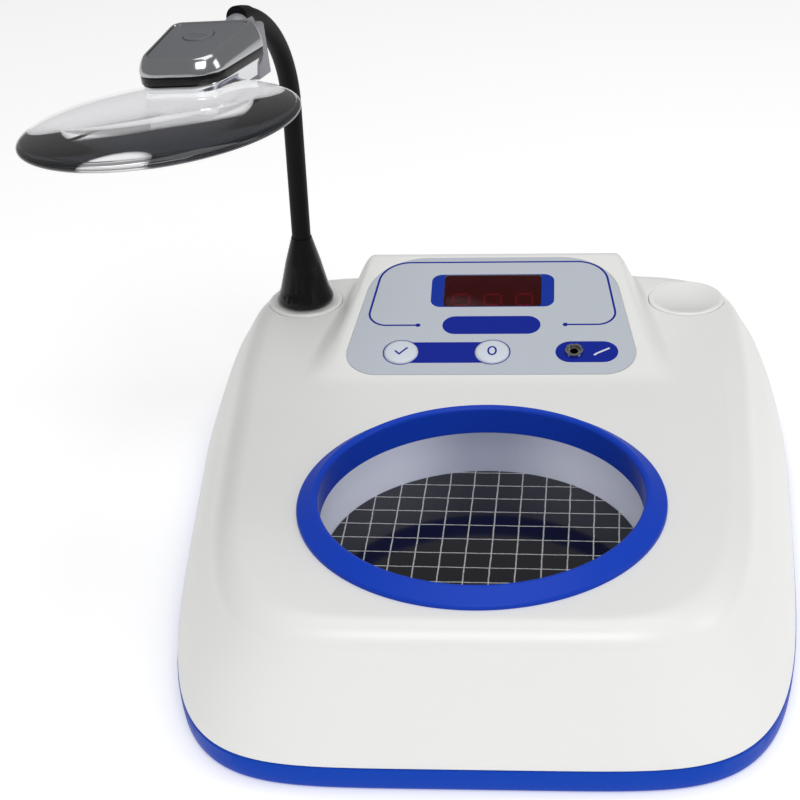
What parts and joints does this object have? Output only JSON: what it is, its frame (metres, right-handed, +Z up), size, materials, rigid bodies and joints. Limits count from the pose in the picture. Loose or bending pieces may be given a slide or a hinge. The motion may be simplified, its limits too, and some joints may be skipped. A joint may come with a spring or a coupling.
{
  "type": "colony counter",
  "caption": "Bench colony counter: lit round dish well with a grid glass, sloped counting panel with display and keys, and a magnifier on a flexible neck.",
  "frame": {"origin": "on the well's axis at the level of the bench, below the middle of the grid glass", "axes": "+Z up, +X to the operator's right, +Y to the rear; the operator stands at -Y"},
  "size_m": [0.3114, 0.3065, 0.2268],
  "materials": {
    "shell_white": "smooth moulded ABS with a soft gloss",
    "base_blue": "moulded ABS, semi-gloss",
    "ring_blue": "moulded ABS, gloss",
    "foot_rubber": "matte",
    "screw_steel": "zinc plated",
    "chassis_metal": "turned",
    "lamp_tray": "white enamel",
    "lamp_glass": "phosphor coated tube",
    "clip_plastic": "satin",
    "diffuser_white": "frosted, translucent",
    "grid_glass": "polished, engraved underside",
    "dish_black": "gloss black",
    "overlay_silver": "printed polycarbonate film",
    "window_red": "tinted clear filter",
    "display_body": "moulded",
    "board_green": "solder mask",
    "chip_black": "moulded",
    "brass": "turned",
    "key_silver": "satin film",
    "nut_chrome": "polished",
    "transformer_iron": "varnished laminations",
    "fitting_black": "moulded",
    "cone_black": "gloss",
    "neck_black": "matte sleeve",
    "head_silver": "metallic paint",
    "knuckle_grey": "satin metallic paint",
    "band_black": "gloss",
    "clamp_chrome": "chrome-plated moulding",
    "lamp_lens": "moulded clear",
    "lens_clear": "optically clear acrylic"
  },
  "bodies": {
    "base": {"base_tray": "base_blue", "rubber_feet": "foot_rubber", "housing_screws": "screw_steel", "chassis_pillars": "chassis_metal", "upper_housing": "shell_white", "well_ring": "ring_blue", "diffuser_ring": "diffuser_white", "light_box": "lamp_tray", "ring_lamp": "lamp_glass", "lamp_clips": "clip_plastic", "grid_glass": "grid_glass", "dark_dish": "dish_black", "panel_overlay": "overlay_silver", "display_window": "window_red", "display_module": "display_body", "control_board": "board_green", "board_chips": "chip_black", "board_pillars": "brass", "key_switches": "chip_black", "probe_jack": "brass", "jack_nut": "nut_chrome", "transformer": "transformer_iron", "power_board": "board_green", "power_inlet": "fitting_black", "inlet_pins": "brass", "fuse_drawer": "fitting_black", "rocker_frame": "fitting_black", "arm_socket_cap": "shell_white", "blank_socket_cap": "shell_white"},
    "arm": {"arm_cone": "cone_black", "arm_lock_nut": "screw_steel", "neck_root": "neck_black"},
    "neck_a": {"neck_low": "neck_black"},
    "neck_b": {"neck_middle": "neck_black"},
    "neck_c": {"neck_high": "neck_black"},
    "neck_d": {"neck_tip": "neck_black", "neck_ferrule": "neck_black", "knuckle": "knuckle_grey", "tilt_pin": "screw_steel"},
    "head": {"head_shell": "head_silver", "head_band": "band_black", "lens_clamp": "clamp_chrome", "clamp_screws": "screw_steel", "head_lamp": "lamp_lens", "magnifier_lens": "lens_clear"},
    "head_button": {"head_button": "head_silver"},
    "check_key": {"check_key": "key_silver"},
    "reset_key": {"reset_key": "key_silver"},
    "power_rocker": {"power_rocker": "fitting_black"}
  },
  "joints": [
    {"name": "arm_swivel", "type": "hinge", "parent": "base", "child": "arm", "pos_m": [-0.088, 0.174, 0.067], "axis": [0, 0, 1], "range_deg": [-90, 90]},
    {"name": "neck_bend_low", "type": "hinge", "parent": "arm", "child": "neck_a", "pos_m": [-0.088, 0.174, 0.1194], "axis": [0.9542, -0.299, 0], "range_deg": [-12, 10]},
    {"name": "neck_sway_low", "type": "hinge", "parent": "neck_a", "child": "neck_b", "pos_m": [-0.088, 0.174, 0.1434], "axis": [-0.299, -0.9542, 0], "range_deg": [-10, 10]},
    {"name": "neck_bend_high", "type": "hinge", "parent": "neck_b", "child": "neck_c", "pos_m": [-0.08965, 0.16875, 0.18671], "axis": [0.9542, -0.299, 0], "range_deg": [-15, 12]},
    {"name": "neck_sway_high", "type": "hinge", "parent": "neck_c", "child": "neck_d", "pos_m": [-0.09427, 0.154, 0.20664], "axis": [0.1906, 0.6083, 0.7705], "range_deg": [-12, 12]},
    {"name": "head_tilt", "type": "hinge", "parent": "neck_d", "child": "head", "pos_m": [-0.10311, 0.1199, 0.20826], "axis": [0.9383, -0.2859, 0.1945], "range_deg": [-25, 20]},
    {"name": "head_button_press", "type": "slide", "parent": "head", "child": "head_button", "axis": [0.1409, -0.1974, -0.9701], "range_m": [0, 0.0008], "stiffness_N_per_m": 400},
    {"name": "check_key_press", "type": "slide", "parent": "base", "child": "check_key", "axis": [0, 0.2419, -0.9703], "range_m": [0, 0.0006], "stiffness_N_per_m": 400},
    {"name": "reset_key_press", "type": "slide", "parent": "base", "child": "reset_key", "axis": [0, 0.2419, -0.9703], "range_m": [0, 0.0006], "stiffness_N_per_m": 400},
    {"name": "power_rocker_tilt", "type": "hinge", "parent": "base", "child": "power_rocker", "pos_m": [-0.062, 0.20264, 0.034], "axis": [-1, 0, 0], "range_deg": [0, 18]}
  ]
}
